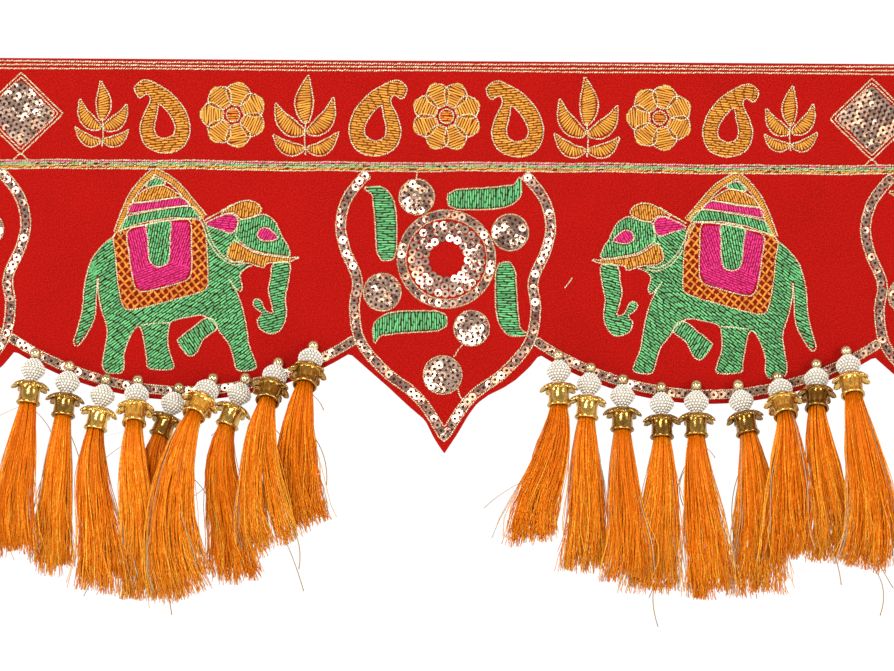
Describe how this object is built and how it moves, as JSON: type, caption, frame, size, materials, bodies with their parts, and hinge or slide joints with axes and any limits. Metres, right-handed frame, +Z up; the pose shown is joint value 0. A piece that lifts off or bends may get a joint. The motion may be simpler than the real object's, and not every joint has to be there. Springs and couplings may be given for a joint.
{
  "type": "toran door hanging",
  "caption": "Embroidered red cloth valance for the head of a doorway, with pointed pendants, sequin trims and scallops hung with orange tassels on beads and gilt flower caps.",
  "frame": {"origin": "middle of the cloth's top edge, halfway through its thickness, where the hanging is held", "axes": "+X along the cloth to the viewer's right, +Z up, and the worked face looks towards -Y"},
  "size_m": [0.626, 0.0378, 0.2669],
  "materials": {
    "cloth": "plain woven red cotton, matt",
    "trim": "champagne gold sequins between gold chain stitch",
    "beads": "ivory pearl nubs under a pale gold bead",
    "cap": "gold metallised, bright",
    "tassel": "bright orange art silk, lustrous"
  },
  "bodies": {
    "root": {"cloth": "cloth", "pendant_trim_left": "trim", "pendant_trim_middle": "trim", "pendant_trim_right": "trim", "scallop_trim_left": "trim", "scallop_trim_right": "trim", "beads_left_1": "beads", "beads_left_2": "beads", "beads_left_3": "beads", "beads_left_4": "beads", "beads_left_5": "beads", "beads_left_6": "beads", "beads_left_7": "beads", "beads_left_8": "beads", "beads_left_9": "beads", "beads_right_1": "beads", "beads_right_2": "beads", "beads_right_3": "beads", "beads_right_4": "beads", "beads_right_5": "beads", "beads_right_6": "beads", "beads_right_7": "beads", "beads_right_8": "beads", "beads_right_9": "beads", "cap_left_1": "cap", "cap_left_2": "cap", "cap_left_3": "cap", "cap_left_4": "cap", "cap_left_5": "cap", "cap_left_6": "cap", "cap_left_7": "cap", "cap_left_8": "cap", "cap_left_9": "cap", "cap_right_1": "cap", "cap_right_2": "cap", "cap_right_3": "cap", "cap_right_4": "cap", "cap_right_5": "cap", "cap_right_6": "cap", "cap_right_7": "cap", "cap_right_8": "cap", "cap_right_9": "cap", "tassel_left_1": "tassel", "tassel_left_2": "tassel", "tassel_left_3": "tassel", "tassel_left_4": "tassel", "tassel_left_5": "tassel", "tassel_left_6": "tassel", "tassel_left_7": "tassel", "tassel_left_8": "tassel", "tassel_left_9": "tassel", "tassel_right_1": "tassel", "tassel_right_2": "tassel", "tassel_right_3": "tassel", "tassel_right_4": "tassel", "tassel_right_5": "tassel", "tassel_right_6": "tassel", "tassel_right_7": "tassel", "tassel_right_8": "tassel", "tassel_right_9": "tassel"}
  },
  "joints": []
}
